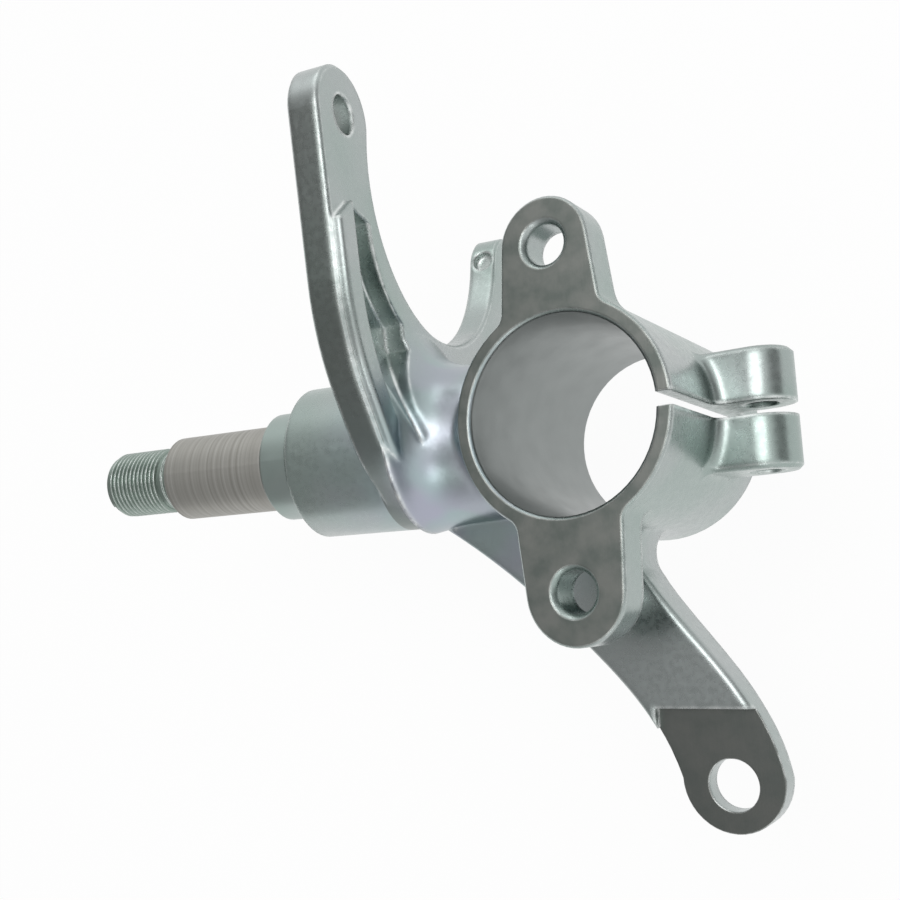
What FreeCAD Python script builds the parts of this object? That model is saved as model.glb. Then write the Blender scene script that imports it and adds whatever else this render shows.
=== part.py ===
"""Steering knuckle: clamp tube with lug flange and pinch ears, spindle, caliper bracket, steering arm.

One forged and machined piece. Millimetres. The origin is on the bore axis at the rear mouth of the
clamp tube; +Z runs along the bore to the lug face and +X points outboard, along the spindle.
"""
import math
import os
import FreeCAD
import Part

# Clamp tube
BORE_RADIUS = 24.0
TUBE_WALL = 4.0
TUBE_LENGTH = 63.0
MOUTH_CHAMFER = 0.8
REAR_CHAMFER = 0.8
SLOT_WIDTH = 3.4

# Lug flange at the front mouth
LUG_THICKNESS = 10.0
LUG_PITCH = 82.6
LUG_TURN = 1.7
LUG_END_RADII = (11.6, 12.6)
LUG_ROOT_RADIUS = 15.5
LUG_HOLE_RADIUS = 5.1
LUG_HOLE_CHAMFER = 1.2
LUG_BLEND = 4.0
LUG_EDGE_CHAMFER = 0.6

# Pinch ears beside the slot, their front a little above the spindle's crossing
EAR_HALF_HEIGHT = 14.7
EAR_RISE = 5.5
EAR_END_RADIUS = 8.5
EAR_BOLT_REACH = 36.5
PINCH_HOLE_RADIUS = 4.25
EAR_EDGE_CHAMFER = 1.0
EAR_BLEND = 3.0

# Spindle: how far behind the tube's middle it crosses the bore axis, its lean and its steps
SPINDLE_OFFSET = 2.5
SPINDLE_LEAN = 8.0
NECK_RADIUS = 21.5
NECK_END = 89.0
COLLAR_RADIUS = 15.6
COLLAR_LENGTH = 12.0
SEAT_RADIUS = 12.5
SEAT_LENGTH = 36.5
THREAD_CORE_RADIUS = 9.2
THREAD_END_LENGTH = 25.0
RELIEF_LENGTH = 3.0
RELIEF_DEPTH = 0.4
NECK_CHAMFER = 1.2
STEP_CHAMFER = 1.0
TIP_CHAMFER = 1.5
COTTER_HOLE_RADIUS = 1.3
COTTER_HOLE_INSET = 4.0
NECK_BLEND = 7.0
BLEND_CLEARANCE = 0.7
# The neck flares up and forward before it meets the bracket plate: distance and growth in radius
FLARE = ((34.0, 0.0), (42.0, 0.6), (47.0, 1.9), (50.0, 3.8), (52.5, 6.5))

# Caliper bracket: a plate square to the spindle, even about a line turned from straight up
BRACKET_FACE = 52.0
BRACKET_THICKNESS = 9.0
BRACKET_EDGE_CHAMFER = 0.8
BRACKET_TURN = 7.1
CALIPER_HOLE_SPREAD = 54.8
CALIPER_HOLE_HEIGHT = 73.8
CALIPER_HOLE_RADIUS = 5.1
HORN_END_RADIUS = 12.5
THROAT_FLOOR = 33.0
# Outer edge of one horn as (sideways, up) from the spindle axis: two rounded corners, then the neck
HORN_KNEE = (51.0, 15.3)
HORN_KNEE_RADIUS = 62.0
HORN_SWEEP = (28.2, -9.0)
HORN_SWEEP_RADIUS = 40.0
HORN_FOOT = (10.2, -18.8)
# Rib along the front edge and the pocket behind it
RIB_RISE = 2.5
RIB_SETBACK = 0.7
RIB_WIDTH = 7.5
RIB_SLANT = (0.88, 0.47)
RIB_START = 12.0
RIB_TOP = ((70.0, 30.4), (40.0, 66.2))
RIB_EDGE_ROUND = 1.0
POCKET_RIM = ((40.5, 50.5), (33.0, 37.5), (21.2, 29.5))
POCKET_NECK = ((19.6, 22.8), (23.9, 12.0), (23.9, 4.3))
POCKET_TIP = ((22.6, -2.9), (22.9, -6.1))
POCKET_FRONT = ((25.5, 1.3), (38.5, 15.2), (43.6, 23.5), (46.6, 32.5), (51.9, 51.0))
# The floor as (up, distance along the spindle): level behind the horn, rising towards the tip
POCKET_FLOOR = ((24.0, 58.0), (-8.0, 43.6))
# Small blind hole in the throat wall of the rear horn
DIMPLE_RADIUS = 3.2
DIMPLE_DEPTH = 3.5
DIMPLE_HEIGHT = 75.0

# Steering arm, a flat bar square to the bore axis, its face above the spindle's crossing
ARM_RISE = 8.0
ARM_ROOT_THICKNESS = 13.0
ARM_END_THICKNESS = 9.0
ARM_EYE = (-24.7, 85.8)
ARM_EYE_RADIUS = 12.2
ARM_HOLE_SHIFT = 1.3
ARM_HOLE_RADIUS = 6.0
ARM_HOLE_CHAMFER = 1.0
ARM_OUTER_EDGE = ((60.0, 16.0), (33.0, 33.7), (8.4, 55.4), (-7.2, 73.9))
ARM_INNER_EDGE = ((-24.9, 60.0), (-16.1, 49.2), (-7.0, 36.8))
# The inner edge ends in a hollow curve that runs into the tube
ARM_INNER_HOLLOW = ((-5.8, 32.2), (-10.4, 25.2))
ARM_ROOT_CORNERS = ((-8.5, 20.0), (45.0, 12.0))
ARM_PAD_START = 69.6
ARM_PAD_DEPTH = 2.5
ARM_EDGE_ROUND = 1.2
ARM_FACE_BLEND = 1.5

# Overshoot of cutters, closeness of places on an edge, and values used again
MARGIN = 5.0
CLOSE = 0.02
EDGE_SAMPLES = (0.02, 0.25, 0.5, 0.75, 0.98)
TUBE_RADIUS = BORE_RADIUS + TUBE_WALL
SPINDLE_HEIGHT = TUBE_LENGTH / 2 - SPINDLE_OFFSET
EAR_FRONT = SPINDLE_HEIGHT + EAR_RISE
ARM_FACE = SPINDLE_HEIGHT + ARM_RISE
FLANGE_BACK = TUBE_LENGTH - LUG_THICKNESS
COLLAR_END = NECK_END + COLLAR_LENGTH
SEAT_END = COLLAR_END + SEAT_LENGTH
SPINDLE_END = SEAT_END + THREAD_END_LENGTH
Z_AXIS = FreeCAD.Vector(0, 0, 1)
Y_AXIS = FreeCAD.Vector(0, 1, 0)
X_AXIS = FreeCAD.Vector(1, 0, 0)
SPINDLE_PLACE = FreeCAD.Placement(
    FreeCAD.Vector(0, 0, SPINDLE_HEIGHT), FreeCAD.Rotation(Y_AXIS, -SPINDLE_LEAN))


def cylinder(radius, start, end, axis, centre=FreeCAD.Vector(0, 0, 0)):
    """Cylinder along an axis, from one distance along it to another."""
    return Part.makeCylinder(radius, end - start, centre + axis * start, axis)


def outline_prism(edges, travel):
    """Solid swept straight from a closed run of edges."""
    return Part.Face(Part.Wire(edges)).extrude(travel)


def line(start, end):
    return Part.makeLine(start, end)


def closed_lines(corners):
    return [line(corners[i - 1], corners[i]) for i in range(len(corners))]


def arc(start, middle, end):
    return Part.Arc(start, middle, end).toShape()


def curve(points):
    spline = Part.BSplineCurve()
    spline.interpolate(points)
    return spline.toShape()


def edges_where(shape, test):
    """Edges of a shape whose sampled points all pass a test."""
    found = []
    for edge in shape.Edges:
        first, last = edge.ParameterRange
        points = [edge.valueAt(first + (last - first) * share) for share in EDGE_SAMPLES]
        if all(test(point) for point in points):
            found.append(edge)
    return found


def near(value, target):
    return abs(value - target) < CLOSE


def from_bore(point):
    """Distance of a point from the bore's axis."""
    return math.hypot(point.x, point.y)


def from_spindle(point):
    """Distance of a point of the placed knuckle from the spindle's axis."""
    local = SPINDLE_PLACE.inverse().multVec(point)
    return math.hypot(local.y, local.z)


def tapered_bar(end_centre, end_radius, root_radius, bottom, top):
    """Bar square to Z: two round ends, the root about the bore axis, joined by tangent sides."""
    reach = end_centre.Length
    along = end_centre / reach
    side = FreeCAD.Vector(-along.y, along.x, 0)
    slope = (root_radius - end_radius) / reach
    spread = math.sqrt(1 - slope * slope)
    lean = along * slope
    lift = FreeCAD.Vector(0, 0, bottom)

    def tangent(centre, radius, hand):
        return lift + centre + (lean + side * spread * hand) * radius

    origin = FreeCAD.Vector(0, 0, 0)
    root_left = tangent(origin, root_radius, 1)
    root_right = tangent(origin, root_radius, -1)
    end_left = tangent(end_centre, end_radius, 1)
    end_right = tangent(end_centre, end_radius, -1)
    edges = [
        line(root_left, end_left),
        arc(end_left, lift + end_centre + along * end_radius, end_right),
        line(end_right, root_right),
        arc(root_right, lift - along * root_radius, root_left),
    ]
    return outline_prism(edges, Z_AXIS * (top - bottom))


def lug_hole_centres():
    """Centres of the two lug holes, either side of the bore."""
    turn = math.radians(LUG_TURN)
    reach = FreeCAD.Vector(math.sin(turn), -math.cos(turn), 0) * LUG_PITCH / 2
    return [reach, reach * -1]


def clamp_tube():
    """Tube with its lug flange, blended and chamfered, before the bore is cut."""
    body = cylinder(TUBE_RADIUS, 0, TUBE_LENGTH, Z_AXIS)
    body = body.makeChamfer(REAR_CHAMFER, edges_where(body, lambda point: near(point.z, 0)))
    lugs = [
        tapered_bar(centre, radius, LUG_ROOT_RADIUS, FLANGE_BACK, TUBE_LENGTH)
        for centre, radius in zip(lug_hole_centres(), LUG_END_RADII)
    ]
    body = body.fuse(lugs).removeSplitter()

    def lug_root(point):
        beside = near(from_bore(point), TUBE_RADIUS) and abs(point.y) > MARGIN
        return beside and FLANGE_BACK - CLOSE < point.z < TUBE_LENGTH - CLOSE

    blend = min(LUG_BLEND, (FLANGE_BACK - ARM_FACE) / 3)
    body = body.makeFillet(blend, edges_where(body, lug_root))
    return body.makeChamfer(
        LUG_EDGE_CHAMFER, edges_where(body, lambda point: near(point.z, TUBE_LENGTH)))


def pinch_ears():
    """Block for both ears, rounded about the pinch bolt's axis; the slot parts it later."""
    axis = FreeCAD.Vector(-EAR_BOLT_REACH, 0, EAR_FRONT - EAR_END_RADIUS)
    round_end = cylinder(EAR_END_RADIUS, -EAR_HALF_HEIGHT, EAR_HALF_HEIGHT, Y_AXIS, axis)
    bar = Part.makeBox(
        EAR_BOLT_REACH - BORE_RADIUS + MARGIN, 2 * EAR_HALF_HEIGHT, 2 * EAR_END_RADIUS,
        FreeCAD.Vector(-EAR_BOLT_REACH, -EAR_HALF_HEIGHT, EAR_FRONT - 2 * EAR_END_RADIUS))
    ears = round_end.fuse(bar).removeSplitter()
    sides = edges_where(
        ears, lambda point: near(abs(point.y), EAR_HALF_HEIGHT) and point.x < -BORE_RADIUS)
    return ears.makeChamfer(EAR_EDGE_CHAMFER, sides)


def spindle_neck():
    """Thick root of the spindle with its chamfered shoulder."""
    neck = cylinder(NECK_RADIUS, 0, NECK_END, X_AXIS)
    return neck.makeChamfer(NECK_CHAMFER, edges_at(neck, NECK_END))


def spindle_steps():
    """Collar, bearing seat, relief and threaded end outboard of the neck."""
    collar = cylinder(COLLAR_RADIUS, NECK_END - MARGIN, COLLAR_END, X_AXIS)
    collar = collar.makeChamfer(STEP_CHAMFER, edges_at(collar, COLLAR_END))
    seat = cylinder(SEAT_RADIUS, COLLAR_END - MARGIN, SEAT_END, X_AXIS)
    seat = seat.makeChamfer(STEP_CHAMFER, edges_at(seat, SEAT_END))
    relief_end = SEAT_END + RELIEF_LENGTH
    relief_radius = THREAD_CORE_RADIUS - RELIEF_DEPTH
    relief = cylinder(relief_radius, SEAT_END - MARGIN, relief_end + MARGIN, X_AXIS)
    thread = cylinder(THREAD_CORE_RADIUS, relief_end, SPINDLE_END, X_AXIS)
    thread = thread.makeChamfer(TIP_CHAMFER, edges_at(thread, SPINDLE_END))
    return collar.fuse([seat, relief, thread])


def edges_at(shape, distance):
    """Round edges of a turned piece that lie wholly at one distance along X."""
    return edges_where(shape, lambda point: near(point.x, distance))


def neck_flare():
    """Neck widened up and forward towards the bracket plate, its underside kept straight."""
    rings = []
    for distance, growth in FLARE:
        shift = growth * math.sqrt(0.5)
        centre = FreeCAD.Vector(distance, -shift, shift)
        rings.append(Part.Wire(Part.makeCircle(NECK_RADIUS + growth, centre, X_AXIS)))
    return Part.makeLoft(rings, True)


def bracket_point(place, distance):
    """Point of the bracket from (sideways, up) and the distance along the spindle."""
    turn = math.radians(BRACKET_TURN)
    side, up = place
    y = -up * math.cos(turn) - side * math.sin(turn)
    z = -up * math.sin(turn) + side * math.cos(turn)
    return FreeCAD.Vector(distance, y, z)


def round_corner(before, corner, after, radius):
    """Start, middle and end of the arc that rounds a corner of a bracket outline."""
    corner_at = FreeCAD.Vector(corner[0], corner[1], 0)
    back = (FreeCAD.Vector(before[0], before[1], 0) - corner_at).normalize()
    ahead = (FreeCAD.Vector(after[0], after[1], 0) - corner_at).normalize()
    half = back.getAngle(ahead) / 2
    to_centre = (back + ahead).normalize()
    start = corner_at + back * (radius / math.tan(half))
    end = corner_at + ahead * (radius / math.tan(half))
    middle = corner_at + to_centre * (radius / math.sin(half) - radius)
    return [(point.x, point.y) for point in (start, middle, end)]


def horn_side():
    """Places down one horn: throat side, top, outer tangent, then two corner arcs and the foot."""
    knee_side = HORN_KNEE[0] - CALIPER_HOLE_SPREAD
    knee_drop = CALIPER_HOLE_HEIGHT - HORN_KNEE[1]
    reach = math.hypot(knee_side, knee_drop)
    heading = math.atan2(knee_drop, -knee_side) - math.asin(HORN_END_RADIUS / reach)
    run = math.sqrt(reach ** 2 - HORN_END_RADIUS ** 2)
    tangent = (HORN_KNEE[0] + run * math.cos(heading), HORN_KNEE[1] + run * math.sin(heading))
    throat_side = (CALIPER_HOLE_SPREAD - HORN_END_RADIUS, CALIPER_HOLE_HEIGHT)
    top = (CALIPER_HOLE_SPREAD, CALIPER_HOLE_HEIGHT + HORN_END_RADIUS)
    knee = round_corner(tangent, HORN_KNEE, HORN_SWEEP, HORN_KNEE_RADIUS)
    sweep = round_corner(HORN_KNEE, HORN_SWEEP, HORN_FOOT, HORN_SWEEP_RADIUS)
    return [throat_side, top, tangent] + knee + sweep + [HORN_FOOT]


def bracket_outline(distance, shift=(0, 0)):
    """Closed outline of the whole bracket plate, the front horn first, the rear horn mirrored."""
    throat_floor = bracket_point((shift[0], THROAT_FLOOR + shift[1]), distance)

    def horn(hand):
        run = [
            bracket_point((hand * side + shift[0], up + shift[1]), distance)
            for side, up in horn_side()
        ]
        return [
            arc(*run[0:3]),
            line(run[2], run[3]),
            arc(*run[3:6]),
            line(run[5], run[6]),
            arc(*run[6:9]),
            line(run[8], run[9]),
        ], run

    front, front_run = horn(1)
    rear, rear_run = horn(-1)
    across = line(front_run[-1], rear_run[-1])
    throat_arc = arc(rear_run[0], throat_floor, front_run[0])
    return front + [across] + rear[::-1] + [throat_arc]


def bracket_plate():
    """Flat plate of the bracket, the edges of its outline broken on both faces."""
    plate = outline_prism(bracket_outline(BRACKET_FACE), X_AXIS * BRACKET_THICKNESS)
    back = BRACKET_FACE + BRACKET_THICKNESS

    def rim(point):
        on_face = near(point.x, BRACKET_FACE) or near(point.x, back)
        return on_face and math.hypot(point.y, point.z) > NECK_RADIUS - MARGIN / 2

    return plate.makeChamfer(BRACKET_EDGE_CHAMFER, edges_where(plate, rim))


def front_rib():
    """Raised rib along the front edge: the strip between two shifted copies of the outline."""
    face = BRACKET_FACE - RIB_RISE
    near_shift = [RIB_SETBACK * -RIB_SLANT[0], RIB_SETBACK * RIB_SLANT[1]]
    far_shift = [(RIB_SETBACK + RIB_WIDTH) * -RIB_SLANT[0], (RIB_SETBACK + RIB_WIDTH) * RIB_SLANT[1]]
    full = outline_prism(bracket_outline(face, near_shift), X_AXIS * (RIB_RISE + RIB_EDGE_ROUND))
    under = face - MARGIN
    through = X_AXIS * (RIB_RISE + 2 * MARGIN)
    inner = outline_prism(bracket_outline(under, far_shift), through)
    below = HORN_FOOT[1] - MARGIN
    window = [(RIB_START, below), (RIB_TOP[0][0], below), *RIB_TOP, (RIB_START, RIB_TOP[1][1])]
    window = outline_prism(closed_lines([bracket_point(place, under) for place in window]), through)
    rib = full.cut(inner).common(window)
    crest = edges_where(rib, lambda point: near(point.x, face))
    return rib.makeFillet(RIB_EDGE_ROUND, crest)


def front_pocket():
    """Cutter for the hollow between the front rib, the throat and the neck."""
    start = FLARE[0][0]
    level_up, deepest = POCKET_FLOOR[0]
    tip_up, shallowest = POCKET_FLOOR[1]

    def at(place):
        return bracket_point(place, start)

    rim = [at(place) for place in POCKET_RIM]
    neck = [at(place) for place in POCKET_NECK]
    tip = [at(place) for place in POCKET_TIP]
    front = [at(place) for place in POCKET_FRONT]
    edges = [
        arc(*rim),
        line(rim[-1], neck[0]),
        arc(*neck),
        line(neck[-1], tip[0]),
        line(tip[0], tip[1]),
        line(tip[1], front[0]),
        line(front[0], front[1]),
        arc(*front[1:4]),
        line(front[3], front[4]),
        line(front[4], rim[0]),
    ]
    hollow = outline_prism(edges, X_AXIS * (deepest - start))
    wedge = [
        bracket_point((0, level_up), deepest), bracket_point((0, tip_up), shallowest),
        bracket_point((0, tip_up), deepest)]
    across = bracket_point((2 * CALIPER_HOLE_SPREAD, 0), 0)
    return hollow.cut(outline_prism(closed_lines(wedge), across))


def steering_arm():
    """Flat arm with its eye, thinner at the rear towards the end."""
    rear = ARM_FACE - ARM_ROOT_THICKNESS
    eye = FreeCAD.Vector(ARM_EYE[0], ARM_EYE[1], rear)

    def at(place):
        return FreeCAD.Vector(place[0], place[1], rear)

    outer_end = eye + X_AXIS * ARM_EYE_RADIUS
    inner_start = eye - X_AXIS * ARM_EYE_RADIUS
    outer = curve([at(place) for place in ARM_OUTER_EDGE] + [outer_end])
    inner = curve([inner_start] + [at(place) for place in ARM_INNER_EDGE])
    hollow = [at(place) for place in ARM_INNER_EDGE[-1:] + ARM_INNER_HOLLOW]
    root = [hollow[-1]] + [at(place) for place in ARM_ROOT_CORNERS + ARM_OUTER_EDGE[:1]]
    edges = [outer, arc(outer_end, eye + Y_AXIS * ARM_EYE_RADIUS, inner_start), inner, arc(*hollow)]
    edges += [line(root[i], root[i + 1]) for i in range(3)]
    arm = outline_prism(edges, Z_AXIS * ARM_ROOT_THICKNESS)
    slim_face = ARM_FACE - ARM_END_THICKNESS
    far = ARM_EYE[1] + 2 * ARM_EYE_RADIUS
    profile = (
        (TUBE_RADIUS + MARGIN, rear), (ARM_PAD_START, slim_face), (far, slim_face),
        (far, rear - MARGIN), (TUBE_RADIUS + MARGIN, rear - MARGIN))
    corners = [FreeCAD.Vector(-far, y, z) for y, z in profile]
    slim = outline_prism(closed_lines(corners), X_AXIS * 2 * far)
    return arm.cut(slim)


def spindle_hole(radius, start, end, place):
    """Round cutter along the spindle through a place on the bracket."""
    return cylinder(radius, start, end, X_AXIS, bracket_point(place, 0))


def placed_on_spindle(shape):
    """Shape moved from the spindle's own frame to its place in the knuckle."""
    moved = shape.copy()
    moved.Placement = SPINDLE_PLACE
    return moved


def tube_with_neck():
    """Clamp tube and spindle neck, blended where they cross."""
    body = clamp_tube().fuse(placed_on_spindle(spindle_neck()))

    def crossing(point):
        return near(from_bore(point), TUBE_RADIUS) and near(from_spindle(point), NECK_RADIUS)

    lean = math.radians(SPINDLE_LEAN)
    middle = SPINDLE_HEIGHT + TUBE_RADIUS * math.tan(lean)
    half = NECK_RADIUS / math.cos(lean)
    room = min(TUBE_LENGTH - LUG_EDGE_CHAMFER - middle - half, middle - half - REAR_CHAMFER)
    blend = min(NECK_BLEND, room - BLEND_CLEARANCE)
    return body.makeFillet(blend, edges_where(body, crossing))


def with_ears(body):
    """Body with the pinch ears blended into the tube."""
    body = body.fuse(pinch_ears())
    ear_back = EAR_FRONT - 2 * EAR_END_RADIUS

    def root(point):
        beside = near(from_bore(point), TUBE_RADIUS) and point.x < 0
        across = abs(point.y) < EAR_HALF_HEIGHT + CLOSE
        return beside and across and ear_back - CLOSE < point.z < EAR_FRONT + CLOSE

    return body.makeFillet(EAR_BLEND, edges_where(body, root))


def with_arm(body):
    """Body with the steering arm, its front edges rounded and its root blended."""
    body = body.fuse(steering_arm())

    def root(point):
        meets = near(from_bore(point), TUBE_RADIUS) or near(from_spindle(point), NECK_RADIUS)
        return meets and near(point.z, ARM_FACE)

    def front_edge(point):
        return near(point.z, ARM_FACE) and from_bore(point) > TUBE_RADIUS + CLOSE and not root(point)

    body = body.makeFillet(ARM_EDGE_ROUND, edges_where(body, front_edge))
    return body.makeFillet(ARM_FACE_BLEND, edges_where(body, root))


def bracket_cuts():
    """Caliper holes, pocket, blind hole and cotter hole, in the spindle's own frame."""
    hole_start = BRACKET_FACE - MARGIN
    hole_end = BRACKET_FACE + BRACKET_THICKNESS + MARGIN
    cuts = [front_pocket()]
    for hand in (1, -1):
        place = (hand * CALIPER_HOLE_SPREAD, CALIPER_HOLE_HEIGHT)
        cuts.append(spindle_hole(CALIPER_HOLE_RADIUS, hole_start, hole_end, place))
    throat_wall = CALIPER_HOLE_SPREAD - HORN_END_RADIUS
    middle = BRACKET_FACE + BRACKET_THICKNESS / 2
    mouth = bracket_point((MARGIN - throat_wall, DIMPLE_HEIGHT), middle)
    floor = bracket_point((-throat_wall - DIMPLE_DEPTH, DIMPLE_HEIGHT), middle)
    sideways = (floor - mouth).normalize()
    cuts.append(Part.makeCylinder(DIMPLE_RADIUS, MARGIN + DIMPLE_DEPTH, mouth, sideways))
    cotter_at = FreeCAD.Vector(SPINDLE_END - COTTER_HOLE_INSET, 0, 0)
    cuts.append(cylinder(COTTER_HOLE_RADIUS, -SEAT_RADIUS, SEAT_RADIUS, Z_AXIS, cotter_at))
    return cuts


def knuckle():
    """The whole knuckle as one solid."""
    body = with_arm(with_ears(tube_with_neck()))
    outboard = [spindle_steps(), neck_flare(), bracket_plate(), front_rib()]
    body = body.fuse([placed_on_spindle(shape) for shape in outboard])
    body = body.cut([placed_on_spindle(shape) for shape in bracket_cuts()])
    return body.cut(machined_cuts()).removeSplitter()


def machined_cuts():
    """Bore, slot and the holes square to the bore or across the slot."""
    bore = cylinder(BORE_RADIUS, -MARGIN, TUBE_LENGTH + MARGIN, Z_AXIS)
    mouth = BORE_RADIUS + MOUTH_CHAMFER
    front_mouth = Part.makeCone(
        BORE_RADIUS, mouth, MOUTH_CHAMFER, Z_AXIS * (TUBE_LENGTH - MOUTH_CHAMFER), Z_AXIS)
    reach = EAR_BOLT_REACH + EAR_END_RADIUS + MARGIN
    slot_corner = FreeCAD.Vector(-reach, -SLOT_WIDTH / 2, -MARGIN)
    slot = Part.makeBox(reach, SLOT_WIDTH, TUBE_LENGTH + 2 * MARGIN, slot_corner)
    cuts = [bore, front_mouth, slot]
    for centre in lug_hole_centres():
        cuts.append(
            cylinder(LUG_HOLE_RADIUS, FLANGE_BACK - MARGIN, TUBE_LENGTH + MARGIN, Z_AXIS, centre))
        cuts.append(Part.makeCone(
            LUG_HOLE_RADIUS, LUG_HOLE_RADIUS + LUG_HOLE_CHAMFER, LUG_HOLE_CHAMFER,
            centre + Z_AXIS * (TUBE_LENGTH - LUG_HOLE_CHAMFER), Z_AXIS))
    bolt = FreeCAD.Vector(-EAR_BOLT_REACH, 0, EAR_FRONT - EAR_END_RADIUS)
    clear = EAR_HALF_HEIGHT + MARGIN
    cuts.append(cylinder(PINCH_HOLE_RADIUS, -clear, clear, Y_AXIS, bolt))
    arm_hole = FreeCAD.Vector(ARM_EYE[0], ARM_EYE[1] + ARM_HOLE_SHIFT, 0)
    arm_rear = ARM_FACE - ARM_END_THICKNESS
    cuts.append(Part.makeCone(
        ARM_HOLE_RADIUS + ARM_HOLE_CHAMFER, ARM_HOLE_RADIUS, ARM_HOLE_CHAMFER,
        arm_hole + Z_AXIS * arm_rear))
    cuts.append(cylinder(ARM_HOLE_RADIUS, arm_rear - MARGIN, ARM_FACE + MARGIN, Z_AXIS, arm_hole))
    pad_side = 2 * (ARM_EYE_RADIUS + MARGIN)
    pad_corner = (ARM_EYE[0] - pad_side / 2, ARM_PAD_START, ARM_FACE - ARM_PAD_DEPTH)
    cuts.append(Part.makeBox(pad_side, pad_side, MARGIN, FreeCAD.Vector(*pad_corner)))
    return cuts


def main():
    part = knuckle()
    os.makedirs("parts", exist_ok=True)
    part.exportStep("parts/knuckle.step")


if __name__ == "__main__":
    main()
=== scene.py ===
"""Studio picture of a zinc plated steering knuckle. Lengths are in metres, in the row frame."""
import math
from types import SimpleNamespace
import bpy
from mathutils import Matrix, Vector


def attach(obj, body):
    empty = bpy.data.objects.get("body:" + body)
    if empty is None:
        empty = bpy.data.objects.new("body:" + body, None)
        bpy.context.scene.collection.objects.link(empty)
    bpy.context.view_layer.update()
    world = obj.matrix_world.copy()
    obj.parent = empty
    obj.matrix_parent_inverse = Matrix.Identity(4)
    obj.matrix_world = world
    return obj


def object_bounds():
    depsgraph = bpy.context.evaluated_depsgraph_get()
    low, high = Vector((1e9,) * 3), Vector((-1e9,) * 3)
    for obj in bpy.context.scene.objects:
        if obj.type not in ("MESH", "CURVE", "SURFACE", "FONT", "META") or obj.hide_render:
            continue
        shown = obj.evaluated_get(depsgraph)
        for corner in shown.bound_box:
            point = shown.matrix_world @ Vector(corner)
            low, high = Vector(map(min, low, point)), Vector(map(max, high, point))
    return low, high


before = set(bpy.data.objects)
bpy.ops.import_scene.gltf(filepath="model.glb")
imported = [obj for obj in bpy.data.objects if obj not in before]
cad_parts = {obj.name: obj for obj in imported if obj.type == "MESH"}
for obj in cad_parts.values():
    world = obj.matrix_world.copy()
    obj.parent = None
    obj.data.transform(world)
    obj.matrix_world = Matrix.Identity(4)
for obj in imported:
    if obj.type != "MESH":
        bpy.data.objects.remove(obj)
start_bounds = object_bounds()

MM = 0.001
WHITE = (1, 1, 1, 1)

# The spindle's axis crosses the bore axis here and leans forward as it goes outboard
SPINDLE_CROSSING = Vector((0, 0, 29.0)) * MM
SPINDLE_LEAN = math.radians(8.0)
SPINDLE_AXIS = Vector((math.cos(SPINDLE_LEAN), 0, math.sin(SPINDLE_LEAN)))

# Distances along the spindle's axis from that crossing
NECK_END = 89.0 * MM
COLLAR_END = 101.0 * MM
SEAT_END = 137.5 * MM
THREAD_START = 140.5 * MM
SPINDLE_END = 162.5 * MM

# The thread. Its foot is sunk in the core, and widths along the axis are shares of the pitch
THREAD_CORE_RADIUS = 9.2 * MM
THREAD_RADIUS = 10.0 * MM
THREAD_PITCH = 1.5 * MM
THREAD_SUNK = 0.2 * MM
THREAD_SIDES = 48
THREAD_TURNS_SPARED = 1.5
HALF_CREST = 0.08
HALF_PITCH = 0.5

# Where the bracket's plate and the other machined faces lie
BRACKET_START = 52.0 * MM
BRACKET_END = 61.0 * MM
BORE_RADIUS = 24.0 * MM
LUG_FACE = 63.0 * MM
LUG_REACH = 34.0 * MM
PAD_FACE = 34.5 * MM
PAD_START = 69.6 * MM
FACE_MARGIN = 0.12 * MM

# Painted shade on the plate's rim: the cosine between a face's normal and the spindle's axis lies
# below the first pair, the normal's Y above the second, and the openness of the place above the
# third. A pair is a value and half the width of the soft step there
RIM_TILT = (0.3, 0.1)
SHADED_SIDE = (0.0, 0.2)
RIM_OPENNESS = (0.7, 0.1)
RIM_SHADE_SHARE = 0.75

# Painted light in the plate's hollows: how far to look for walls, and how open a place is where the
# lighter colour starts and is full
HOLLOW_REACH = 14 * MM
HOLLOW_START = 0.70
HOLLOW_FULL = 0.35
OCCLUSION_SAMPLES = 6

# Worn edges, partly a painted highlight: radius of the rounding, and the cosine of the turn at
# which wear starts and is full
FORGED_EDGE = 2.2 * MM
MACHINED_EDGE = 0.6 * MM
BEVEL_SAMPLES = 8
WEAR_START = 0.975
WEAR_FULL = 0.86

# Colours
TINT_GREEN = (0.34, 0.405, 0.383, 1)
TINT_GREY = (0.40, 0.435, 0.43, 1)
TINT_CYAN = (0.38, 0.47, 0.51, 1)
TINT_VIOLET = (0.42, 0.42, 0.53, 1)
# Painted light: lighter colour in the plate's hollows
HOLLOW_LIGHT_COLOUR = (0.68, 0.73, 0.71, 1)
THREAD_COLOUR = (0.28, 0.34, 0.305, 1)
MACHINED_DARK = (0.19, 0.215, 0.20, 1)
MACHINED_LIGHT = (0.32, 0.335, 0.315, 1)
# Machined tone of the bore, darkened further as painted shade inside the bore
BORE_SHADED_COLOUR = (0.27, 0.29, 0.285, 1)
# Painted shade: dark colour for the plate's rim on the faces that point to +Y
RIM_SHADE_COLOUR = (0.14, 0.155, 0.145, 1)
PAD_COLOUR = (0.11, 0.115, 0.11, 1)
PAD_SHARE = 0.6
SEAT_DARK = (0.31, 0.305, 0.28, 1)
SEAT_LIGHT = (0.44, 0.435, 0.41, 1)
# Bright worn edges: real chips, and also a painted highlight along the edges
WORN_EDGE_AND_HIGHLIGHT = (0.86, 0.89, 0.88, 1)

# Pairs of colours that a noise blends: each with the noise at which it is full
FORGED_TINTS = ((0.40, TINT_GREEN), (0.62, TINT_GREY))
SHEEN_TINTS = ((0.42, TINT_CYAN), (0.58, TINT_VIOLET))
MILLED_TINTS = ((0.36, MACHINED_DARK), (0.66, MACHINED_LIGHT))
SEAT_TINTS = ((0.36, SEAT_DARK), (0.66, SEAT_LIGHT))

# Violet and cyan sheen in the saddle between neck and tube: its centre, how far from there it
# reaches, and how far it is full
SHEEN_CENTRE = Vector((36, 8, 42)) * MM
SHEEN_REACH = 48 * MM
SHEEN_FULL = 12 * MM

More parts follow.
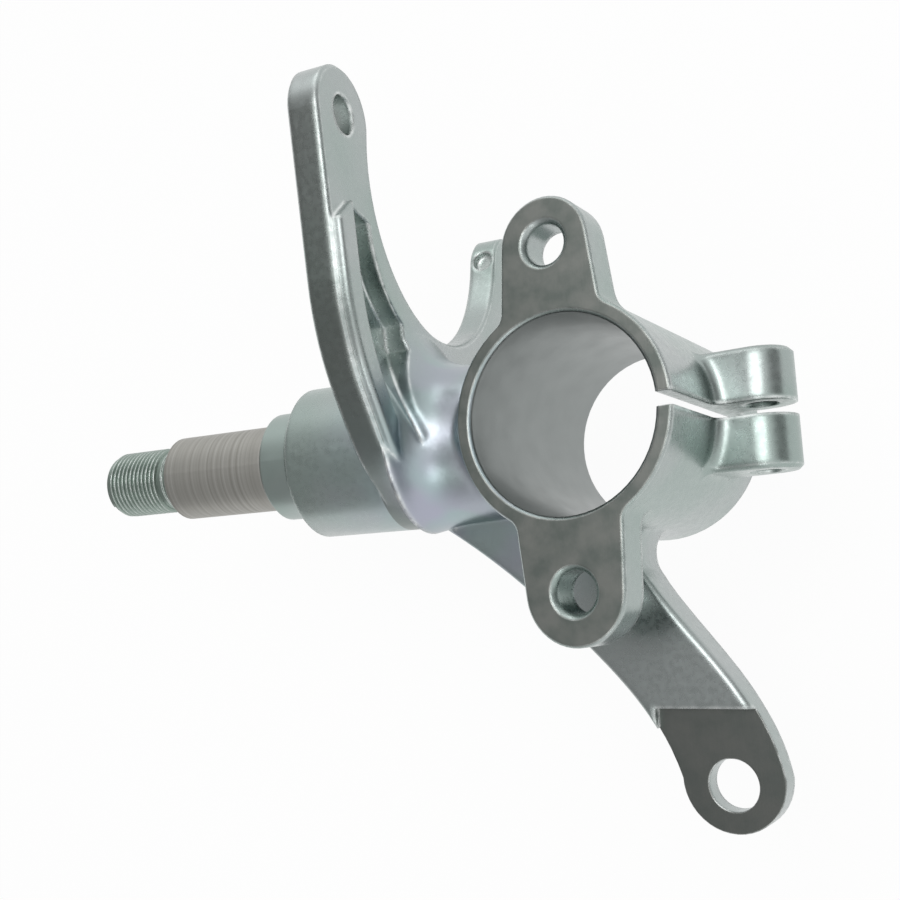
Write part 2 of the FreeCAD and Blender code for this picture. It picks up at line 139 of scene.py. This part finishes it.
# Noises: cells per metre, and detail
FORGED_PATCHES = (26.0, 2.0)
SHEEN_PATCHES = (40.0, 2.0)
SHEEN_BANDS = (70.0, 1.0)
DENTS = (130.0, 2.0)
STAINS = (160.0, 6.0)
CHIPS = (420.0, 3.0)
GRAIN = (650.0, 4.0)
RINGS_PER_METRE = 900.0
RING_DETAIL = 4.0
SCRATCHES_PER_METRE = (2600, 260, 10)
SCRATCH_DETAIL = 2.0

# Most of a noise lies between these values. They are spread to a low and a high share or roughness
NOISE_LOW = 0.3
NOISE_HIGH = 0.7
CHIPPED_SHARE = (0.1, 0.9)
SHEEN_SHARE = (0.3, 1)
FORGED_ROUGHNESS = (0.23, 0.34)
MILLED_ROUGHNESS = (0.40, 0.30)
RINGED_ROUGHNESS = (0.30, 0.38)
SHEEN_ROUGHNESS = 0.36
SEAT_ROUGHNESS = 0.5

# Relief: heights against the grain's, and the depth of the whole
DENT_HEIGHT = 3.0
SCRATCH_HEIGHT = 0.5
RING_HEIGHT = 0.9
BUMP_STRENGTH = 0.35
BUMP_DISTANCE = 0.06 * MM

# Camera of the photograph: where it stands, where it looks, and which way is up in the picture
CAMERA_PLACE = Vector((-113.97, 43.25, 288.63)) * MM
CAMERA_LOOK = Vector((0.53278, -0.14131, -0.83437))
CAMERA_UP = Vector((-0.11792, -0.98874, 0.09216))
PICTURE_WIDTH = 900
FOCAL_PIXELS = 1100
SENSOR_WIDTH = 36.0
CLIP_START = 0.005
CLIP_END = 60

# The room is white but for two dim sides: each has a direction, the cosines at which the dimming
# starts and is full, and the brightness that is left
DIM_SIDES = (((0.75, 0.30, 0.60), 0.30, 0.85, 0.38), ((-0.95, -0.25, 0.15), 0.70, 0.95, 0.30))

# The floor glows white, and the lit share of it shows the part's shadow
FLOOR_SIZE = 30
FLOOR_GLOW = 0.93
FLOOR_COLOUR = (0.9, 0.9, 0.9, 1)

# Lamps: name, direction from the part, size and brightness
LAMPS = (("lamp_camera", (-0.19, -0.2, 0.96), 0.46, 2.8),
         ("lamp_top", (0.1, -0.9, 0.4), 0.45, 1.0),
         ("lamp_low", (-0.12, 0.68, 0.72), 0.28, 2.2))
LAMP_DISTANCE = 0.9
LAMP_TARGET = Vector((30, 0, 30)) * MM


class NodeMaker:
    """Adds shader nodes to a tree. An input is a plain value or another node's output."""

    def __init__(self, tree):
        self.tree = tree

    def add(self, kind, inputs, **settings):
        """Outputs of a new node."""
        node = self.tree.nodes.new("ShaderNode" + kind)
        for name, value in settings.items():
            setattr(node, name, value)
        for name, value in inputs.items():
            if isinstance(value, bpy.types.NodeSocket):
                self.tree.links.new(value, node.inputs[name])
            else:
                node.inputs[name].default_value = value
        return node.outputs

    def calc(self, operation, first, second=0.0):
        """Result of a math operation on one or two numbers."""
        return self.add("Math", {0: first, 1: second}, operation=operation)[0]

    def both(self, first, second):
        """Share of the first that also lies in the second."""
        return self.calc("MULTIPLY", first, second)

    def either(self, first, second):
        """The larger of two shares."""
        return self.calc("MAXIMUM", first, second)

    def dot(self, first, second):
        """Dot product of two vectors."""
        return self.add("VectorMath", {0: first, 1: second}, operation="DOT_PRODUCT")["Value"]

    def stretch(self, vector, factors):
        """Vector with each axis scaled by its own factor."""
        return self.add("VectorMath", {0: vector, 1: factors}, operation="MULTIPLY")[0]

    def ramp(self, value, start, full, low=0.0, high=1.0, **settings):
        """Low up to the start, high from where it is full, and a blend between."""
        ends = {"Value": value, "From Min": start, "From Max": full, "To Min": low, "To Max": high}
        return self.add("MapRange", ends, **settings)["Result"]

    def above(self, value, edge, soft=FACE_MARGIN / 2):
        """1 above an edge and 0 below it."""
        return self.ramp(value, edge - soft, edge + soft)

    def below(self, value, edge, soft=FACE_MARGIN / 2):
        """1 below an edge and 0 above it."""
        return self.calc("SUBTRACT", 1.0, self.above(value, edge, soft))

    def between(self, value, low, high):
        """1 between two edges and 0 outside them."""
        return self.calc("SUBTRACT", self.above(value, low), self.above(value, high))

    def noise(self, vector, scale, detail):
        """Soft noise of about 0.3 to 0.7."""
        return self.add("TexNoise", {"Vector": vector, "Scale": scale, "Detail": detail})["Fac"]

    def spread(self, noise, low, high):
        """A noise spread from low to high."""
        return self.ramp(noise, NOISE_LOW, NOISE_HIGH, low, high)

    def blend(self, amount, first, second):
        """Colour between two colours."""
        return self.add("Mix", {"Factor": amount, 6: first, 7: second}, data_type="RGBA")[2]

    def blend_value(self, amount, first, second):
        """Number between two numbers."""
        return self.add("Mix", {"Factor": amount, 2: first, 3: second}, data_type="FLOAT")[0]

    def tints(self, amount, steps):
        """Colour that goes from the first of two (position, colour) steps to the second."""
        node = self.tree.nodes.new("ShaderNodeValToRGB")
        self.tree.links.new(amount, node.inputs["Fac"])
        for element, (position, colour) in zip(node.color_ramp.elements, steps):
            element.position = position
            element.color = colour
        return node.outputs["Color"]


def place_camera():
    """Camera with the photograph's viewing angle and lens."""
    camera_data = bpy.data.cameras.new("photo_camera")
    camera_data.sensor_width = SENSOR_WIDTH
    camera_data.lens = SENSOR_WIDTH * FOCAL_PIXELS / PICTURE_WIDTH
    camera_data.clip_start = CLIP_START
    camera_data.clip_end = CLIP_END
    camera = bpy.data.objects.new("photo_camera", camera_data)
    bpy.context.collection.objects.link(camera)
    back = -CAMERA_LOOK.normalized()
    right = CAMERA_UP.cross(back).normalized()
    up = back.cross(right)
    turn = Matrix((right, up, back)).transposed().to_4x4()
    camera.matrix_world = Matrix.Translation(CAMERA_PLACE) @ turn
    bpy.context.scene.camera = camera


def surface_point(maker):
    """Where a point of the surface lies, which way it faces and how open it is."""
    place = maker.add("TexCoord", {})["Object"]
    flat = maker.stretch(place, (1, 1, 0))
    crossing_along = SPINDLE_CROSSING.dot(SPINDLE_AXIS)
    occlusion = maker.add("AmbientOcclusion", {"Distance": HOLLOW_REACH}, samples=OCCLUSION_SAMPLES)
    return SimpleNamespace(
        place=place,
        axes=maker.add("SeparateXYZ", {"Vector": place}),
        from_bore=maker.add("VectorMath", {0: flat}, operation="LENGTH")["Value"],
        along=maker.calc("SUBTRACT", maker.dot(place, SPINDLE_AXIS), crossing_along),
        facing=maker.add("NewGeometry", {})["Normal"],
        openness=occlusion["AO"])


def surface_regions(maker, point):
    """Shares of the regions at a point, 1 inside and 0 outside."""
    lug_height = maker.between(point.axes["Z"], LUG_FACE - FACE_MARGIN, LUG_FACE + FACE_MARGIN)
    lug_face = maker.both(lug_height, maker.below(point.axes["X"], LUG_REACH))
    pad_height = maker.between(point.axes["Z"], PAD_FACE - FACE_MARGIN, PAD_FACE + FACE_MARGIN)
    pad = maker.both(pad_height, maker.above(point.axes["Y"], PAD_START))
    bore = maker.below(point.from_bore, BORE_RADIUS + FACE_MARGIN)
    turned = maker.above(point.along, NECK_END)
    return SimpleNamespace(
        pad=pad,
        bore=bore,
        turned=turned,
        milled=maker.either(lug_face, pad),
        ringed=maker.either(bore, turned),
        seat=maker.between(point.along, COLLAR_END, SEAT_END),
        thread=maker.above(point.along, SEAT_END),
        plate=maker.between(point.along, BRACKET_START - FACE_MARGIN, BRACKET_END + FACE_MARGIN))


def painted_rim_shade(maker, point, plate):
    """Painted shade on the rim of the bracket's plate, on the open faces that point to +Y, low in
    the camera's view.
    """
    tilt = maker.calc("ABSOLUTE", maker.dot(point.facing, SPINDLE_AXIS))
    rim_shade = maker.both(plate, maker.below(tilt, *RIM_TILT))
    facing_axes = maker.add("SeparateXYZ", {"Vector": point.facing})
    lower_rim_shade = maker.both(rim_shade, maker.above(facing_axes["Y"], *SHADED_SIDE))
    return maker.both(lower_rim_shade, maker.above(point.openness, *RIM_OPENNESS))


def sheen_share(maker, point):
    """Share of the violet and cyan sheen, which fades away from its centre."""
    ends = {0: point.place, 1: SHEEN_CENTRE}
    distance = maker.add("VectorMath", ends, operation="DISTANCE")["Value"]
    near = maker.ramp(distance, SHEEN_REACH, SHEEN_FULL)
    patches = maker.spread(maker.noise(point.place, *SHEEN_PATCHES), *SHEEN_SHARE)
    return maker.both(near, patches)


def turning_rings(maker, point, turned):
    """Fine rings round the spindle, and round the bore."""
    ring_place = maker.blend_value(turned, point.axes["Z"], point.along)
    ring_line = maker.add("CombineXYZ", {"X": maker.calc("MULTIPLY", ring_place, RINGS_PER_METRE)})
    return maker.noise(ring_line[0], 1.0, RING_DETAIL)


def soft_edges(maker, point, regions):
    """Normal that is rounded at the edges, and the share of bright wear on them, partly a painted
    highlight.
    """
    machined = maker.either(regions.milled, regions.ringed)
    radius = maker.blend_value(machined, FORGED_EDGE, MACHINED_EDGE)
    soft_normal = maker.add("Bevel", {"Radius": radius}, samples=BEVEL_SAMPLES)["Normal"]
    wear_and_highlight = maker.ramp(maker.dot(soft_normal, point.facing), WEAR_START, WEAR_FULL)
    chips = maker.spread(maker.noise(point.place, *CHIPS), *CHIPPED_SHARE)
    return soft_normal, maker.both(wear_and_highlight, chips)


def forged_colour(maker, point, plate, sheen):
    """Green and grey plating, with the sheen, and painted light that makes the plate's hollows
    lighter.
    """
    colour = maker.tints(maker.noise(point.place, *FORGED_PATCHES), FORGED_TINTS)
    sheen_tint = maker.tints(maker.noise(point.place, *SHEEN_BANDS), SHEEN_TINTS)
    colour = maker.blend(sheen, colour, sheen_tint)
    # Painted light in the plate's hollows, where the place is least open
    hollow_light = maker.both(maker.ramp(point.openness, HOLLOW_START, HOLLOW_FULL), plate)
    return maker.blend(hollow_light, colour, HOLLOW_LIGHT_COLOUR)


def steel_colour(maker, regions, forged, rim_shade, stains, rings, wear_and_highlight):
    """Colour of every region, with painted shade on the plate's rim, and the worn edges, partly a
    painted highlight, on top.
    """
    # Painted shade on the plate's rim that faces +Y
    colour = maker.blend(maker.calc("MULTIPLY", rim_shade, RIM_SHADE_SHARE), forged, RIM_SHADE_COLOUR)
    colour = maker.blend(regions.milled, colour, maker.tints(stains, MILLED_TINTS))
    # Bore: machined tone with painted shade inside it
    colour = maker.blend(regions.bore, colour, BORE_SHADED_COLOUR)
    colour = maker.blend(maker.calc("MULTIPLY", regions.pad, PAD_SHARE), colour, PAD_COLOUR)
    colour = maker.blend(regions.seat, colour, maker.tints(rings, SEAT_TINTS))
    colour = maker.blend(regions.thread, colour, THREAD_COLOUR)
    # Worn edges on top, partly a painted highlight
    return maker.blend(wear_and_highlight, colour, WORN_EDGE_AND_HIGHLIGHT)


def steel_normal(maker, point, regions, grain, rings, soft_normal):
    """Normal with forged grain and dents, milling scratches and turning rings."""
    dents = maker.calc("MULTIPLY", maker.noise(point.place, *DENTS), DENT_HEIGHT)
    relief = maker.calc("ADD", grain, dents)
    scratches = maker.noise(maker.stretch(point.place, SCRATCHES_PER_METRE), 1.0, SCRATCH_DETAIL)
    scratches = maker.calc("MULTIPLY", scratches, SCRATCH_HEIGHT)
    relief = maker.blend_value(regions.milled, relief, scratches)
    relief = maker.blend_value(regions.ringed, relief, maker.calc("MULTIPLY", rings, RING_HEIGHT))
    bump = {"Strength": BUMP_STRENGTH, "Distance": BUMP_DISTANCE, "Height": relief}
    return maker.add("Bump", {**bump, "Normal": soft_normal})["Normal"]


def steel_roughness(maker, regions, grain, stains, sheen):
    """Roughness of every region."""
    rough = maker.spread(grain, *FORGED_ROUGHNESS)
    rough = maker.blend_value(sheen, rough, SHEEN_ROUGHNESS)
    rough = maker.blend_value(regions.milled, rough, maker.spread(stains, *MILLED_ROUGHNESS))
    rough = maker.blend_value(regions.ringed, rough, maker.spread(stains, *RINGED_ROUGHNESS))
    return maker.blend_value(regions.seat, rough, SEAT_ROUGHNESS)


def plated_steel():
    """Zinc plated forging with turned and milled faces, told apart by where they lie."""
    material = bpy.data.materials.new("plated_steel")
    material.use_nodes = True
    tree = material.node_tree
    maker = NodeMaker(tree)
    point = surface_point(maker)
    regions = surface_regions(maker, point)
    sheen = sheen_share(maker, point)
    grain = maker.noise(point.place, *GRAIN)
    stains = maker.noise(point.place, *STAINS)
    rings = turning_rings(maker, point, regions.turned)
    # Mask of the painted shade on the plate's lower rim
    rim_shade = painted_rim_shade(maker, point, regions.plate)
    soft_normal, wear_and_highlight = soft_edges(maker, point, regions)
    forged = forged_colour(maker, point, regions.plate, sheen)
    colour = steel_colour(maker, regions, forged, rim_shade, stains, rings, wear_and_highlight)
    normal = steel_normal(maker, point, regions, grain, rings, soft_normal)
    rough = steel_roughness(maker, regions, grain, stains, sheen)
    shader = tree.nodes["Principled BSDF"]
    shader.inputs["Metallic"].default_value = 1.0
    tree.links.new(colour, shader.inputs["Base Color"])
    tree.links.new(rough, shader.inputs["Roughness"])
    tree.links.new(normal, shader.inputs["Normal"])
    return material


def thread_mesh():
    """Helical thread over the core of the spindle's end, which rises and fades over one turn."""
    turns = (SPINDLE_END - THREAD_START) / THREAD_PITCH - THREAD_TURNS_SPARED
    steps = int(THREAD_SIDES * turns)
    across = SPINDLE_AXIS.cross(Vector((0, 1, 0))).normalized()
    upward = across.cross(SPINDLE_AXIS)
    foot = THREAD_CORE_RADIUS - THREAD_SUNK
    profile = ((-HALF_PITCH, foot), (-HALF_CREST, THREAD_RADIUS),
               (HALF_CREST, THREAD_RADIUS), (HALF_PITCH, foot))
    corners = len(profile)
    points = []
    faces = []
    for step in range(steps + 1):
        angle = 2 * math.pi * step / THREAD_SIDES
        fade = min(1.0, step / THREAD_SIDES, (steps - step) / THREAD_SIDES)
        along = THREAD_START + THREAD_PITCH * (HALF_PITCH + step / THREAD_SIDES)
        outward = across * math.cos(angle) + upward * math.sin(angle)
        for offset, radius in profile:
            height = foot + (radius - foot) * fade
            distance = along + offset * THREAD_PITCH
            points.append(SPINDLE_CROSSING + SPINDLE_AXIS * distance + outward * height)
        if step:
            low = corners * (step - 1)
            high = corners * step
            faces += [(low + k, low + k + 1, high + k + 1, high + k) for k in range(corners - 1)]
    first_end = tuple(range(corners))
    last_end = tuple(corners * steps + k for k in reversed(range(corners)))
    mesh = bpy.data.meshes.new("spindle_thread")
    mesh.from_pydata(points, [], faces + [first_end, last_end])
    return mesh


def thread_piece(material):
    """The thread as a piece that rides on the knuckle."""
    mesh = thread_mesh()
    mesh.materials.append(material)
    piece = bpy.data.objects.new("spindle_thread", mesh)
    bpy.context.collection.objects.link(piece)
    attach(piece, "root")


def white_floor():
    """Plain floor, white to the camera and in the metal, with the part's faint shadow."""
    low = start_bounds[0][2]
    bpy.ops.mesh.primitive_plane_add(size=FLOOR_SIZE, location=(0, 0, low))
    floor = bpy.context.object
    floor.name = "floor"
    material = bpy.data.materials.new("floor")
    material.use_nodes = True
    material.node_tree.nodes.clear()
    maker = NodeMaker(material.node_tree)
    path = maker.add("LightPath", {})
    seen = maker.either(path["Is Camera Ray"], path["Is Glossy Ray"])
    seen = maker.either(seen, path["Is Transmission Ray"])
    glow_share = maker.calc("MULTIPLY", seen, FLOOR_GLOW)
    lit = maker.add("BsdfDiffuse", {"Color": FLOOR_COLOUR})
    glow = maker.add("Emission", {"Color": WHITE, "Strength": 1.0})
    shown = maker.add("MixShader", {"Fac": glow_share, 1: lit[0], 2: glow[0]})
    maker.add("OutputMaterial", {"Surface": shown[0]})
    floor.data.materials.append(material)


def room():
    """White room with soft dim sides; the camera sees plain white behind the floor."""
    world = bpy.data.worlds.new("room")
    bpy.context.scene.world = world
    world.use_nodes = True
    world.node_tree.nodes.clear()
    maker = NodeMaker(world.node_tree)
    direction = maker.add("TexCoord", {})["Generated"]
    strength = 1.0
    for side, start, full, left in DIM_SIDES:
        facing = maker.dot(direction, Vector(side).normalized())
        dimmed = maker.ramp(facing, start, full, 1.0, left, interpolation_type="SMOOTHSTEP")
        strength = maker.calc("MULTIPLY", strength, dimmed)
    around = maker.add("Background", {"Color": WHITE, "Strength": strength})
    plain = maker.add("Background", {"Color": WHITE, "Strength": 1.0})
    path = maker.add("LightPath", {})
    shown = maker.add("MixShader", {"Fac": path["Is Camera Ray"], 1: around[0], 2: plain[0]})
    maker.add("OutputWorld", {"Surface": shown[0]})


def lamp(name, direction, size, strength):
    """Square soft lamp, turned to the part."""
    light = bpy.data.lights.new(name, "AREA")
    light.size = size
    light.energy = strength * math.pi * size ** 2
    lamp_object = bpy.data.objects.new(name, light)
    bpy.context.collection.objects.link(lamp_object)
    toward = Vector(direction).normalized()
    lamp_object.location = LAMP_TARGET + toward * LAMP_DISTANCE
    lamp_object.rotation_euler = toward.to_track_quat("Z", "Y").to_euler()


place_camera()
steel = plated_steel()
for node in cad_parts.values():
    node.data.materials.clear()
    node.data.materials.append(steel)
thread_piece(steel)
white_floor()
room()
for name, direction, size, strength in LAMPS:
    lamp(name, direction, size, strength)
bpy.context.scene.view_settings.view_transform = "Standard"
